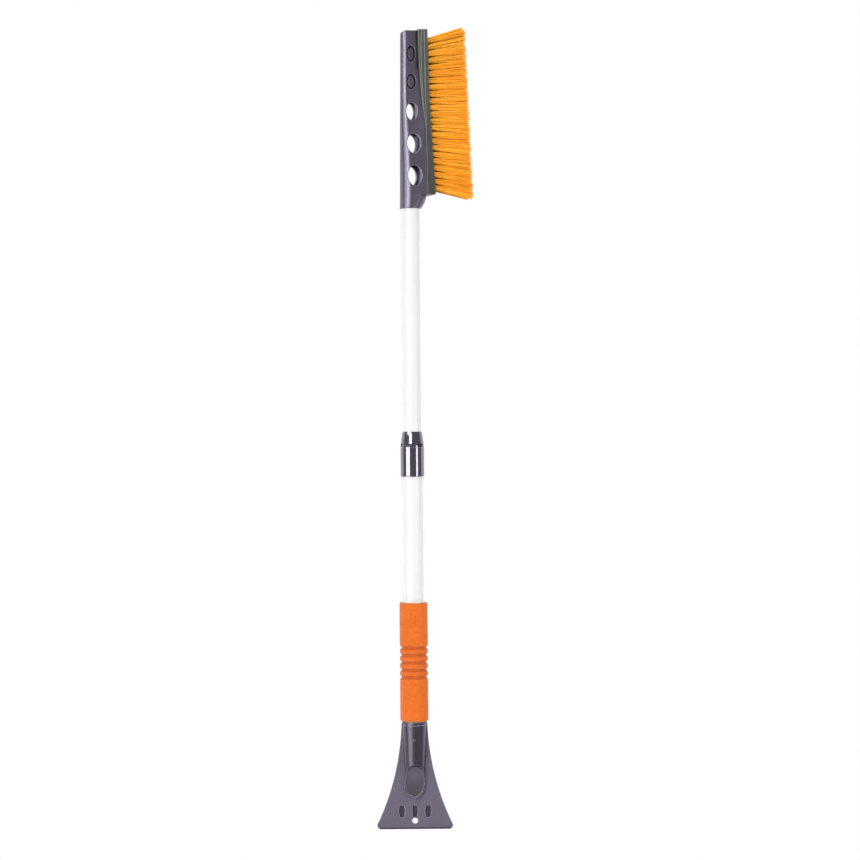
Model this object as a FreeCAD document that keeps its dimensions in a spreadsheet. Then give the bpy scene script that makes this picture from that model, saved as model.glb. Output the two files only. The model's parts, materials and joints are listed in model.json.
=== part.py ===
"""Telescopic snow brush with a windshield ice scraper, built as an assembly of separate pieces.

Frame: millimetres, +Z up along the handle, origin at the centre of the hang hole in the blade.
The blade faces -Y and its cutting edge points down. The brush head is at the top.
The telescope is drawn fully extended and locked.
"""
import FreeCAD
import Part
import math
import os
import re
import Sketcher

doc = FreeCAD.newDocument("snow_brush")
Vector = FreeCAD.Vector

# ------------------------------------------------------------------ driving sizes
SIZES = [
    # ice scraper
    ("blade_z", -10.3, "cutting edge"),
    ("plate_thick", 3.0, "blade plate thickness"),
    ("edge_thick", 1.0, "thickness left at the cutting edge"),
    ("bevel_tall", 2.7, "height of the edge bevel"),
    ("fan_half", 46.0, "half width of the blade"),
    ("fan_corner", 3.2, "corner cut of the blade"),
    ("fan_top_half", 15.75, "half width of the fan at its top"),
    ("fan_top_z", 118.6, "top of the fan"),
    ("fan_curve", 307.0, "radius of the concave sides"),
    ("hang_hole_radius", 3.5, "hang hole"),
    ("recess_z", 11.4, "middle of the three recesses"),
    ("recess_tall", 14.6, "height of the recesses"),
    ("recess_deep", 1.8, "depth of the recesses"),
    ("recess_side_x", 16.0, "offset of the outer recesses"),
    ("recess_side_wide", 7.7, "width of an outer recess"),
    ("recess_mid_wide", 6.3, "width of the middle recess"),
    ("boss_top_z", 120.2, "top of the handle socket"),
    ("boss_top_radius", 15.2, "socket radius at its top"),
    ("boss_waist_z", 66.0, "where the socket stops tapering"),
    ("boss_waist_radius", 13.0, "socket radius at the waist"),
    ("boss_end_z", 27.3, "rounded lower end of the socket"),
    ("boss_end_rise", 19.0, "height of the rounded end"),
    ("rim_y", 5.4, "how far the rim of the scoop stands out at its lower end"),
    ("scoop_curve", 52.0, "radius of the hollow scoop"),
    ("scoop_deep", 0.9, "depth of the scoop floor under its rim"),
    ("scoop_half", 11.15, "half width of the scoop floor"),
    ("scoop_low_z", 29.7, "lower end of the scoop floor"),
    ("scoop_top_z", 66.2, "upper end of the scoop floor"),
    ("lip_z", 116.6, "fine groove under the socket mouth"),
    ("socket_floor_z", 88.0, "floor the outer tube stands on"),
    ("socket_core_z", 72.0, "bottom of the hollow core"),
    ("socket_core_radius", 9.8, "hollow core under the tube"),
    ("scraper_rivet_z", 99.0, "rivet that keeps the scraper on the tube"),
    ("scraper_rivet_radius", 1.1, "rivet shank"),
    # handle tubes
    ("outer_tube_radius", 12.5, "outer tube"),
    ("outer_tube_bore", 11.4, "outer tube inside"),
    ("outer_tube_top_z", 438.8, "upper end of the outer tube"),
    ("inner_tube_radius", 11.0, "inner tube"),
    ("inner_tube_bore", 10.0, "inner tube inside"),
    ("inner_tube_low_z", 440.0, "lower end of the inner tube"),
    ("inner_tube_top_z", 766.0, "upper end of the inner tube"),
    # foam grip
    ("foam_low_z", 121.0, "lower end of the foam"),
    ("foam_top_z", 265.3, "upper end of the foam"),
    ("foam_radius", 17.2, "foam radius"),
    ("foam_chamfer", 2.6, "softened lower edge"),
    ("foam_top_round", 0.8, "softened upper edge"),
    ("foam_groove_z", 174.8, "lowest finger groove"),
    ("foam_groove_pitch", 8.9, "finger groove pitch"),
    ("foam_groove_half", 2.15, "half the mouth of a groove"),
    ("foam_groove_curve", 2.16, "radius of a groove"),
    # collar and guide bush
    ("collar_low_z", 418.0, "lower end of the collar"),
    ("collar_step_z", 454.0, "end of the plain part"),
    ("collar_cone_z", 457.3, "start of the cone"),
    ("collar_top_z", 472.5, "upper end of the collar"),
    ("collar_radius", 14.55, "collar radius"),
    ("collar_neck_radius", 14.2, "radius of the window band"),
    ("collar_mouth_radius", 11.8, "radius at the mouth"),
    ("collar_mouth_bore", 11.35, "bore at the mouth"),
    ("collar_cone_curve", 150.0, "radius of the rounded cone"),
    ("collar_shoulder_z", 464.0, "shoulder over the bush"),
    ("window_low_z", 454.3, "lower edge of the windows"),
    ("window_tall", 3.5, "height of the windows"),
    ("window_angle", 38.0, "width of a window in degrees"),
    ("window_turn", -14.5, "turn of the first window from the front in degrees"),
    ("bush_radius", 12.45, "guide bush radius"),
    ("bush_bore", 11.1, "guide bush bore"),
    ("lug_radius_low", 13.4, "lug radius at its lower edge"),
    ("lug_radius_top", 12.9, "lug radius at its upper edge"),
    ("lug_gap", 0.2, "gap round a lug in its window"),
    # expander lock
    ("sleeve_low_z", 402.0, "lower end of the slotted sleeve"),
    ("sleeve_top_z", 438.3, "upper end of the slotted sleeve"),
    ("sleeve_radius", 11.3, "sleeve radius"),
    ("sleeve_mouth", 9.8, "taper radius at the lower end"),
    ("sleeve_throat", 5.8, "taper radius at its inner end"),
    ("sleeve_taper_z", 420.0, "inner end of the taper"),
    ("sleeve_slot_z", 430.0, "upper end of the slots"),
    ("slot_wide", 2.0, "slot width"),
    ("cone_low_z", 398.6, "lower end of the cone"),
    ("cone_skirt_z", 400.4, "start of the cone flank"),
    ("cone_top_z", 418.0, "upper end of the cone"),
    ("cone_gap", 0.35, "gap between the cone and the taper"),
    ("key_wide", 1.4, "width of the cone keys"),
    ("key_reach", 10.6, "radius the keys reach"),
    ("key_top_z", 412.0, "upper end of the keys"),
    ("stud_radius", 3.0, "stud radius"),
    ("stud_play", 0.05, "running clearance on the stud"),
    ("stud_low_z", 393.6, "lower end of the stud"),
    ("stud_top_z", 456.0, "upper end of the stud"),
    ("clip_z", 395.2, "lower face of the clip"),
    ("clip_tall", 1.0, "clip thickness"),
    ("clip_radius", 5.4, "clip radius"),
    ("clip_root", 2.3, "groove radius under the clip"),
    ("plug_low_z", 438.5, "lower face of the plug flange"),
    ("plug_flange_radius", 10.9, "plug flange radius"),
    ("plug_top_z", 462.0, "upper end of the plug"),
    # brush head
    ("head_turn", 18.0, "turn of the brush head round the handle in degrees"),
    ("neck_low_z", 743.5, "lower end of the neck"),
    ("neck_bore_z", 766.0, "end of the tube socket"),
    ("spine_top_z", 959.5, "top of the spine"),
    ("spine_corner", 6.0, "rounded top corner"),
    ("neck_left", -13.0, "left end of the neck section"),
    ("neck_right", 12.6, "right end of the neck section"),
    ("neck_half", 12.4, "half depth of the neck section"),
    ("foot_left", -12.7, "spine section just under the block"),
    ("foot_right", 20.0, "its right end"),
    ("foot_half", 12.6, "its half depth"),
    ("low_z", 786.0, "spine section at the lowest oval"),
    ("low_left", -12.5, "its left end"),
    ("low_right", 18.3, "its right end"),
    ("low_half", 12.1, "its half depth"),
    ("mid_z", 834.0, "spine section between the through ovals"),
    ("mid_left", -12.2, "its left end"),
    ("mid_right", 17.5, "its right end"),
    ("mid_half", 9.9, "its half depth"),
    ("bend_z", 864.0, "spine section at the highest through oval"),
    ("bend_left", -11.9, "its left end"),
    ("bend_right", 14.6, "its right end"),
    ("bend_half", 8.0, "its half depth"),
    ("high_z", 905.0, "spine section between the blind ovals"),
    ("high_left", -11.5, "its left end"),
    ("high_right", 11.8, "its right end"),
    ("high_half", 6.9, "its half depth"),
    ("crown_left", -11.1, "left end of the top section"),
    ("crown_right", 10.1, "right end of the top section"),
    ("crown_half", 6.5, "half depth of the top section"),
    ("flank_root_x", -2.0, "where the flanks leave the spine"),
    ("flank_edge_x", 19.5, "outer end of the flanks, inside the block seat"),
    ("flank_edge_half", 13.9, "half depth of the flanks beside the block"),
    ("core_wall", 2.3, "wall of the hollow spine"),
    ("core_top_z", 879.0, "top of the hollow core"),
    ("blind_floor", 2.6, "half thickness left behind the groove of a blind oval"),
    ("blind_groove", 2.0, "width of the groove round a blind oval"),
    ("blind_sink", 1.2, "how far the island of a blind oval lies under the surface"),
    ("oval_a_x", 0.0, "highest blind oval, offset"),
    ("oval_a_z", 931.0, "its height"),
    ("oval_a_wide", 11.3, "its width"),
    ("oval_a_tall", 19.4, "its length"),
    ("oval_b_x", 0.0, "second blind oval, offset"),
    ("oval_b_z", 897.0, "its height"),
    ("oval_b_wide", 11.8, "its width"),
    ("oval_b_tall", 18.8, "its length"),
    ("oval_c_x", 0.3, "highest through oval, offset"),
    ("oval_c_z", 861.0, "its height"),
    ("oval_c_wide", 13.9, "its width"),
    ("oval_c_tall", 21.5, "its length"),
    ("oval_d_x", 1.9, "middle through oval, offset"),
    ("oval_d_z", 822.0, "its height"),
    ("oval_d_wide", 16.7, "its width"),
    ("oval_d_tall", 23.7, "its length"),
    ("oval_e_x", 2.5, "lowest through oval, offset"),
    ("oval_e_z", 783.0, "its height"),
    ("oval_e_wide", 17.2, "its width"),
    ("oval_e_tall", 24.9, "its length"),
    ("head_rivet_z", 752.0, "rivet that keeps the head on the tube"),
    ("head_rivet_radius", 1.5, "rivet shank"),
    # bristle block
    ("block_low_z", 760.0, "lower end of the block"),
    ("block_top_z", 960.5, "upper end of the block"),
    ("block_low_x", 28.2, "face of the block at its lower end"),
    ("block_top_x", 19.0, "face of the block at its upper end"),
    ("block_curve", 3070.0, "radius of the hollow face"),
    ("block_half", 14.0, "half depth of the block"),
    ("bar_low_back", 17.7, "back of the block at its lower end"),
    ("bar_join_back", 16.6, "back of the bar where the ledge begins"),
    ("bar_join_z", 836.0, "where the ledge begins"),
    ("bar_top_back", 14.7, "back of the bar at its upper end"),
    ("ledge_mid_back", 11.4, "back of the wide ledge at its upper end"),
    ("ledge_top_back", 8.2, "back of the narrow ledge at its upper end"),
    ("ledge_curve", 900.0, "radius of the back of the ledge"),
    ("ledge_half", 12.9, "half depth of the wide ledge"),
    ("ledge_inner_half", 11.6, "half depth of the narrow ledge"),
    # tufts
    ("tuft_low_z", 769.0, "root of the lowest tuft"),
    ("tuft_top_z", 947.0, "root of the highest tuft"),
    ("tuft_count", 23, "tufts in a long row"),
    ("row_step", 6.6, "distance between rows"),
    ("hole_radius", 2.5, "tuft hole"),
    ("hole_deep", 5.3, "depth of a tuft hole"),
    ("tuft_root_radius", 2.3, "tuft radius at the hole floor"),
    ("tuft_tip_radius", 3.85, "tuft radius at the tip"),
    ("tip_low_x", 75.4, "tip of the lowest tuft"),
    ("tip_top_x", 66.8, "tip of the highest tuft"),
    ("row_fan", 1.08, "spread of the rows at the tips"),
    ("lean_top", 14.5, "upward lean of the highest tuft in degrees"),
    ("lean_low", 9.5, "downward lean of the lowest tuft in degrees"),
    ("anchor_long", 4.4, "staple length"),
    ("anchor_wide", 1.6, "staple width"),
    ("anchor_tall", 0.6, "staple thickness"),
]

sheet = doc.addObject("Spreadsheet::Sheet", "dims")
for row, (name, number, note) in enumerate(SIZES, start=1):
    sheet.set(f"A{row}", name)
    sheet.set(f"B{row}", str(number))
    sheet.set(f"C{row}", note)
    sheet.setAlias(f"B{row}", name)
doc.recompute()
NAMES = {name for name, number, note in SIZES}


def size(formula):
    """Value of a formula written with the names on the sheet."""
    result = sheet.evalExpression(str(formula))
    return float(getattr(result, "Value", result))


def bind(thing, field, formula):
    """Tie a property of an object to a formula on the sheet."""
    text = re.sub(r"[a-z][a-z_]*", lambda m: "dims." + m[0] if m[0] in NAMES else m[0], str(formula))
    thing.setExpression(field, text)


# ------------------------------------------------------------------ sketch helpers
def new_body(name):
    return doc.addObject("PartDesign::Body", name)


def new_sketch(body, plane, height="0"):
    sketch = body.newObject("Sketcher::SketchObject", body.Name + "_sketch")
    origin = {feature.Role: feature for feature in body.Origin.OriginFeatures}
    sketch.AttachmentSupport = [(origin[plane + "_Plane"], "")]
    sketch.MapMode = "FlatFace"
    if height != "0":
        sketch.AttachmentOffset = FreeCAD.Placement(Vector(0, 0, size(height)), FreeCAD.Rotation())
        bind(sketch, "AttachmentOffset.Base.z", height)
    return sketch


def arc_between(start, end, radius):
    """Short arc from start to end; it bulges to the right of the path for a positive radius."""
    chord = end - start
    half = chord.Length / 2
    left = Vector(-chord.y, chord.x, 0).normalize()
    reach = math.sqrt(radius ** 2 - half ** 2)
    centre = (start + end) / 2 + left * math.copysign(reach, radius)
    first, last = (start, end) if radius > 0 else (end, start)
    begin = math.atan2(first.y - centre.y, first.x - centre.x)
    finish = math.atan2(last.y - centre.y, last.x - centre.x)
    if finish < begin:
        finish += 2 * math.pi
    return Part.ArcOfCircle(Part.Circle(centre, Vector(0, 0, 1), abs(radius)), begin, finish)


def draw_loop(sketch, corners):
    """Closed outline. A corner is (x, y) or (x, y, radius of the arc that leaves it)."""
    first = sketch.GeometryCount
    places = [Vector(size(corner[0]), size(corner[1]), 0) for corner in corners]
    total = len(corners)
    starts = []
    for index, corner in enumerate(corners):
        start = places[index]
        end = places[(index + 1) % total]
        if len(corner) == 2:
            sketch.addGeometry(Part.LineSegment(start, end), False)
            starts.append((1, 2))
            continue
        arc = arc_between(start, end, size(corner[2]))
        sketch.addGeometry(arc, False)
        starts.append((1, 2) if size(corner[2]) > 0 else (2, 1))
    for index in range(total):
        following = (index + 1) % total
        sketch.addConstraint(Sketcher.Constraint(
            "Coincident", first + index, starts[index][1], first + following, starts[following][0]))
    for index, corner in enumerate(corners):
        end = starts[index][0]
        for axis, formula, value in (("X", corner[0], places[index].x), ("Y", corner[1], places[index].y)):
            number = sketch.addConstraint(Sketcher.Constraint(
                "Distance" + axis, -1, 1, first + index, end, value))
            bind(sketch, f"Constraints[{number}]", formula)
        if len(corner) > 2:
            number = sketch.addConstraint(Sketcher.Constraint("Radius", first + index, abs(size(corner[2]))))
            bind(sketch, f"Constraints[{number}]", f"abs({corner[2]})")


def draw_circle(sketch, across, up, radius):
    number = sketch.addGeometry(Part.Circle(Vector(size(across), size(up), 0), Vector(0, 0, 1), size(radius)))
    for axis, formula in (("X", across), ("Y", up)):
        fixed = sketch.addConstraint(Sketcher.Constraint("Distance" + axis, -1, 1, number, 3, size(formula)))
        bind(sketch, f"Constraints[{fixed}]", formula)
    fixed = sketch.addConstraint(Sketcher.Constraint("Radius", number, size(radius)))
    bind(sketch, f"Constraints[{fixed}]", radius)


def draw_slot(sketch, left, right, half):
    """Long rounded outline on the X axis from left to right."""
    near = size(left) + size(half)
    far = size(right) - size(half)
    radius = size(half)
    turn = math.pi / 2
    sketch.addGeometry(Part.ArcOfCircle(Part.Circle(Vector(near, 0, 0), Vector(0, 0, 1), radius), turn, 3 * turn))
    sketch.addGeometry(Part.LineSegment(Vector(near, -radius, 0), Vector(far, -radius, 0)))
    sketch.addGeometry(Part.ArcOfCircle(Part.Circle(Vector(far, 0, 0), Vector(0, 0, 1), radius), -turn, turn))
    sketch.addGeometry(Part.LineSegment(Vector(far, radius, 0), Vector(near, radius, 0)))
    for one, end, two, start in ((0, 2, 1, 1), (1, 2, 2, 1), (2, 2, 3, 1), (3, 2, 0, 1)):
        sketch.addConstraint(Sketcher.Constraint("Tangent", one, end, two, start))
    sketch.addConstraint(Sketcher.Constraint("PointOnObject", 0, 3, -1))
    sketch.addConstraint(Sketcher.Constraint("PointOnObject", 2, 3, -1))
    for kind, where, formula in (("DistanceX", 0, f"{left} + {half}"), ("DistanceX", 2, f"{right} - ({half})")):
        number = sketch.addConstraint(Sketcher.Constraint(kind, -1, 1, where, 3, size(formula)))
        bind(sketch, f"Constraints[{number}]", formula)
    number = sketch.addConstraint(Sketcher.Constraint("Radius", 0, radius))
    bind(sketch, f"Constraints[{number}]", half)


# ------------------------------------------------------------------ feature helpers
def revolve(body, corners, cut=False):
    """Turn an outline given as (radius, z) round the Z axis of the body."""
    sketch = new_sketch(body, "XZ")
    draw_loop(sketch, corners)
    feature = body.newObject("PartDesign::Groove" if cut else "PartDesign::Revolution", body.Name + "_turned")
    feature.Profile = sketch
    feature.ReferenceAxis = (sketch, ["V_Axis"])
    feature.Angle = 360
    sketch.Visibility = False
    return feature


def extrude(body, sketch, length, cut=False):
    """Pad or pocket of the given full length, centred on the sketch plane."""
    feature = body.newObject("PartDesign::Pocket" if cut else "PartDesign::Pad", body.Name + "_extruded")
    feature.Profile = sketch
    feature.SideType = "Symmetric"
    feature.Length = size(length)
    bind(feature, "Length", length)
    sketch.Visibility = False
    return feature


def slab(name, plane, corners, length):
    """Stand-alone prism used as a tool."""
    body = new_body(name)
    sketch = new_sketch(body, plane)
    draw_loop(sketch, corners)
    extrude(body, sketch, length)
    return body


def combine(kind, name, parts):
    """Part boolean: Cut and Common take two shapes, MultiFuse and Compound take a list."""
    feature = doc.addObject("Part::" + kind, name)
    if kind in ("Cut", "Common"):
        feature.Base = parts[0]
        feature.Tool = parts[1]
    elif kind == "Compound":
        feature.Links = parts
    else:
        feature.Shapes = parts
    for part in parts:
        part.Visibility = False
    return feature


def primitive(kind, name, fields, place=None):
    feature = doc.addObject("Part::" + kind, name)
    for field, formula in fields.items():
        setattr(feature, field, size(formula))
        bind(feature, field, formula)
    if place is not None:
        feature.Placement = place
    return feature


def raised(feature, height):
    """Lift a primitive to a height on the sheet."""
    bind(feature, "Placement.Base.z", height)
    return feature


def oval(name, across, up, wide, tall, low_y, high_y):
    """Elliptic prism along Y between two depths. Its four sizes are formulas on the sheet."""
    body = new_body(name)
    sketch = new_sketch(body, "XZ")
    centre = Vector(size(across), size(up), 0)
    number = sketch.addGeometry(Part.Ellipse(
        centre + Vector(0, size(tall) / 2, 0), centre + Vector(size(wide) / 2, 0, 0), centre))
    sketch.exposeInternalGeometry(number)
    major = number + 1
    minor = number + 2
    sketch.addConstraint(Sketcher.Constraint("Vertical", major))
    for formula, fields in (
            (across, ("DistanceX", -1, 1, number, 3)),
            (up, ("DistanceY", -1, 1, number, 3)),
            (tall, ("Distance", major)),
            (wide, ("Distance", minor))):
        fixed = sketch.addConstraint(Sketcher.Constraint(*fields, size(formula)))
        bind(sketch, f"Constraints[{fixed}]", formula)
    extrude(body, sketch, str(high_y - low_y))
    body.Placement = FreeCAD.Placement(Vector(0, (low_y + high_y) / 2, 0), FreeCAD.Rotation())
    return body


# ------------------------------------------------------------------ ice scraper
def build_scraper():
    body = new_body("scraper_body")
    sketch = new_sketch(body, "XZ")
    half = "fan_half"
    corner = "fan_corner"
    draw_loop(sketch, [
        (f"{half} - {corner}", "blade_z"),
        (half, f"blade_z + {corner}"),
        (half, f"blade_z + {corner} + 2.2", "0 - fan_curve"),
        ("fan_top_half", "fan_top_z"),
        ("0 - fan_top_half", "fan_top_z", "0 - fan_curve"),
        (f"0 - {half}", f"blade_z + {corner} + 2.2"),
        (f"0 - {half}", f"blade_z + {corner}"),
        (f"{corner} - {half}", "blade_z"),
    ])
    extrude(body, sketch, "plate_thick")
    revolve(body, [
        ("0", "boss_end_z - 1"),
        ("boss_waist_radius", "boss_end_z - 1"),
        ("boss_waist_radius", "boss_waist_z"),
        ("boss_top_radius - 0.15", "lip_z - 0.5"),
        ("boss_top_radius - 0.55", "lip_z"),
        ("boss_top_radius", "lip_z + 0.5"),
        ("boss_top_radius", "boss_top_z - 0.5"),
        ("boss_top_radius - 0.5", "boss_top_z"),
        ("0", "boss_top_z"),
    ])
    # hollow for the tube, with a floor it stands on
    revolve(body, [
        ("0", "socket_core_z"),
        ("socket_core_radius", "socket_core_z"),
        ("socket_core_radius", "socket_floor_z"),
        ("outer_tube_radius", "socket_floor_z"),
        ("outer_tube_radius", "boss_top_z + 1"),
        ("0", "boss_top_z + 1"),
    ], cut=True)
    holes = new_sketch(body, "XZ")
    draw_circle(holes, "0", "0", "hang_hole_radius")
    extrude(body, holes, "4 * plate_thick", cut=True)

    # rounded lower end: everything of the socket that stands proud below this arc goes
    far = "2 * boss_waist_radius"
    tools = []
    for side, name in ((-1, "front"), (1, "back")):
        below = new_body("socket_end_" + name)
        outline = new_sketch(below, "XZ")
        draw_loop(outline, [
            (f"0 - {far}", "boss_end_z - 12"),
            (far, "boss_end_z - 12"),
            (far, "boss_end_z + boss_end_rise"),
            ("boss_waist_radius + 0.02", "boss_end_z + boss_end_rise", "0 - boss_waist_radius - 4.5"),
            ("0", "boss_end_z", "0 - boss_waist_radius - 4.5"),
            ("0 - boss_waist_radius - 0.02", "boss_end_z + boss_end_rise"),
            (f"0 - {far}", "boss_end_z + boss_end_rise"),
        ])
        extrude(below, outline, "20")
        below.Placement = FreeCAD.Placement(Vector(0, side * (10 + size("plate_thick / 2")), 0), FreeCAD.Rotation())
        tools.append(below)
        # sloping rim: a hollow curve in side view
        rim = slab("socket_rim_" + name, "YZ", [
            (f"{side} * 26", "boss_end_z - 12"),
            (f"{side} * rim_y", "boss_end_z - 12"),
            (f"{side} * rim_y", "boss_end_z", f"0 - {side} * scoop_curve"),
            (f"{side} * (boss_waist_radius + 0.4)", "boss_waist_z + 3.5"),
            (f"{side} * 26", "boss_waist_z + 3.5"),
        ], "80")
        tools.append(rim)
        # floor of the scoop: the same curve set deeper, inside an oval outline
        floor = slab("scoop_floor_" + name, "YZ", [
            (f"{side} * 26", "boss_end_z - 12"),
            (f"{side} * (rim_y - scoop_deep)", "boss_end_z - 12"),
            (f"{side} * (rim_y - scoop_deep)", "boss_end_z", f"0 - {side} * scoop_curve"),
            (f"{side} * (boss_waist_radius + 0.4 - scoop_deep)", "boss_waist_z + 3.5"),
            (f"{side} * 26", "boss_waist_z + 3.5"),
        ], "80")
        reach = (-30, 0) if side < 0 else (0, 30)
        ring = oval("scoop_oval_" + name, "0", "(scoop_low_z + scoop_top_z) / 2", "2 * scoop_half",
                    "scoop_top_z - scoop_low_z", *reach)
        tools.append(combine("Common", "scoop_" + name, [floor, ring]))
    # edge bevels
    for side, name in ((-1, "front"), (1, "back")):
        tools.append(slab("edge_bevel_" + name, "YZ", [
            (f"{side} * edge_thick / 2", "blade_z - 1"),
            (f"{side} * edge_thick / 2", "blade_z"),
            (f"{side} * plate_thick / 2", "blade_z + bevel_tall"),
            (f"{side} * (plate_thick / 2 + 1)", "blade_z + bevel_tall"),
            (f"{side} * (plate_thick / 2 + 1)", "blade_z - 1"),
        ], "2 * fan_half + 10"))
    # three blind recesses in the front face
    recesses = []
    for index, (across, wide, shrink) in enumerate((
            ("0 - recess_side_x", "recess_side_wide", "1.3"),
            ("0", "recess_mid_wide", "0.5"),
            ("recess_side_x", "recess_side_wide", "1.3"))):
        low = "recess_z - recess_tall / 2"
        top = "recess_z + recess_tall / 2"
        recesses.append(slab(f"recess_{index}", "XZ", [
            (f"{across} - {wide} / 2 + {shrink}", low),
            (f"{across} + {wide} / 2 - {shrink}", low),
            (f"{across} + {wide} / 2", "recess_z + 1"),
            (f"{across} + {wide} / 2 - {shrink}", top),
            (f"{across} - {wide} / 2 + {shrink}", top),
            (f"{across} - {wide} / 2", "recess_z + 1"),
        ], "2 * recess_deep"))
    for recess in recesses:
        bind(recess, "Placement.Base.y", "0 - plate_thick / 2")
    rivet_hole = primitive("Cylinder", "scraper_rivet_hole", {
        "Radius": "scraper_rivet_radius", "Height": "20"},
        FreeCAD.Placement(Vector(0, 0, size("scraper_rivet_z")), FreeCAD.Rotation(Vector(1, 0, 0), 90)))
    raised(rivet_hole, "scraper_rivet_z")
    cutter = combine("MultiFuse", "scraper_cutter", tools + recesses + [rivet_hole])
    scraper = combine("Cut", "scraper", [body, cutter])
    return scraper


def build_scraper_rivet():
    """Small rivet through the socket wall and the tube, formed over inside the tube."""
    body = new_body("scraper_rivet")
    shank = "scraper_rivet_radius"
    revolve(body, [
        ("0", "10.3"),
        (f"{shank} + 0.5", "10.3"),
        (f"{shank} + 0.7", "10.8"),
        (f"{shank} + 0.7", "11.1"),
        (shank, "11.1"),
        (shank, "14.48"),
        (f"{shank} + 0.6", "14.48"),
        (f"{shank} + 0.4", "14.9"),
        ("0", "15.1"),
    ])
    body.Placement = FreeCAD.Placement(
        Vector(0, 0, size("scraper_rivet_z")), FreeCAD.Rotation(Vector(1, 0, 0), 90))
    raised(body, "scraper_rivet_z")
    return body


# ------------------------------------------------------------------ handle
def side_hole(name, radius, height, direction):
    """Drill along -Y (direction 90) or +Y (direction -90) from the axis outwards."""
    drill = primitive("Cylinder", name, {"Radius": radius, "Height": "20"}, FreeCAD.Placement(
        Vector(0, 0, size(height)), FreeCAD.Rotation(Vector(1, 0, 0), direction)))
    return raised(drill, height)


def build_outer_tube():
    body = new_body("outer_tube_body")
    revolve(body, [
        ("outer_tube_bore", "socket_floor_z"),
        ("outer_tube_radius", "socket_floor_z"),
        ("outer_tube_radius", "outer_tube_top_z"),
        ("outer_tube_bore", "outer_tube_top_z"),
    ])
    drill = side_hole("outer_tube_drill", "scraper_rivet_radius", "scraper_rivet_z", 90)
    return combine("Cut", "outer_tube", [body, drill])


def build_foam_grip():
    body = new_body("foam_grip")
    corners = [
        ("outer_tube_radius", "foam_low_z"),
        ("foam_radius - foam_chamfer", "foam_low_z", "1.3 * foam_chamfer"),
        ("foam_radius", "foam_low_z + foam_chamfer"),
    ]
    for index in range(5):
        middle = f"foam_groove_z + {index} * foam_groove_pitch"
        corners.append(("foam_radius", f"{middle} - foam_groove_half", "0 - foam_groove_curve"))
        corners.append(("foam_radius", f"{middle} + foam_groove_half"))
    corners.append(("foam_radius", "foam_top_z - foam_top_round", "1.2 * foam_top_round"))
    corners.append(("foam_radius - foam_top_round", "foam_top_z"))
    corners.append(("outer_tube_radius", "foam_top_z"))
    revolve(body, corners)
    return body


def window_sectors(name, gap):
    """Six sectors of a disc, one per collar window, each smaller by the gap all round."""
    trim = f"{gap} / lug_radius_low * 180 / 3.14159265"
    sectors = []
    for index in range(6):
        turn = 60 * index + size("window_turn - window_angle / 2") + size(trim) - 90
        sector = primitive("Cylinder", f"{name}_{index}", {
            "Radius": "collar_radius + 2",
            "Height": f"window_tall - 2 * {gap}",
            "Angle": f"window_angle - 2 * {trim}",
        }, FreeCAD.Placement(Vector(0, 0, size("window_low_z")), FreeCAD.Rotation(Vector(0, 0, 1), turn)))
        raised(sector, f"window_low_z + {gap}")
        sectors.append(sector)
    return combine("MultiFuse", name, sectors)


def build_collar_shell():
    body = new_body("collar_body")
    revolve(body, [
        ("outer_tube_radius", "collar_low_z"),
        ("collar_radius - 0.5", "collar_low_z"),
        ("collar_radius", "collar_low_z + 0.5"),
        ("collar_radius", "collar_step_z - 0.6"),
        ("collar_neck_radius", "collar_step_z - 0.4"),
        ("collar_neck_radius", "collar_cone_z", "collar_cone_curve"),
        ("collar_mouth_radius", "collar_top_z"),
        ("collar_mouth_bore", "collar_top_z"),
        ("collar_mouth_bore", "collar_shoulder_z"),
        ("outer_tube_radius", "collar_shoulder_z"),
    ])
    return combine("Cut", "collar_shell", [body, window_sectors("collar_windows", "0")])


def build_guide_bush():
    body = new_body("bush_body")
    revolve(body, [
        ("bush_bore", "outer_tube_top_z"),
        ("bush_radius", "outer_tube_top_z"),
        ("bush_radius", "collar_shoulder_z"),
        ("bush_bore", "collar_shoulder_z"),
    ])
    ring = new_body("lug_ring")
    revolve(ring, [
        ("bush_bore + 0.3", "window_low_z + lug_gap"),
        ("lug_radius_low", "window_low_z + lug_gap"),
        ("lug_radius_low", "window_low_z + lug_gap + 0.6"),
        ("lug_radius_top", "window_low_z + window_tall - lug_gap"),
        ("bush_bore + 0.3", "window_low_z + window_tall - lug_gap"),
    ])
    lugs = combine("Common", "bush_lugs", [ring, window_sectors("lug_sectors", "lug_gap")])
    return combine("MultiFuse", "guide_bush", [body, lugs])


# ------------------------------------------------------------------ expander lock
def build_expander_sleeve():
    body = new_body("sleeve_body")
    revolve(body, [
        ("sleeve_mouth", "sleeve_low_z"),
        ("sleeve_radius - 0.6", "sleeve_low_z"),
        ("sleeve_radius", "sleeve_low_z + 0.8"),
        ("sleeve_radius", "sleeve_top_z - 0.8"),
        ("sleeve_radius - 0.6", "sleeve_top_z"),
        ("stud_radius + stud_play", "sleeve_top_z"),
        ("stud_radius + stud_play", "sleeve_taper_z"),
        ("sleeve_throat", "sleeve_taper_z"),
    ])
    slots = []
    for name, turn in (("slot_across", 0), ("slot_along", 90)):
        box = primitive("Box", name, {
            "Length": "slot_wide", "Width": "60", "Height": "sleeve_slot_z - sleeve_low_z + 2"})
        rotation = FreeCAD.Rotation(Vector(0, 0, 1), turn)
        corner = rotation.multVec(Vector(-size("slot_wide") / 2, -30, 0))
        box.Placement = FreeCAD.Placement(corner, rotation)
        slots.append(raised(box, "sleeve_low_z - 2"))
    return combine("Cut", "expander_sleeve", [body, combine("MultiFuse", "sleeve_slots", slots)])


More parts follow.
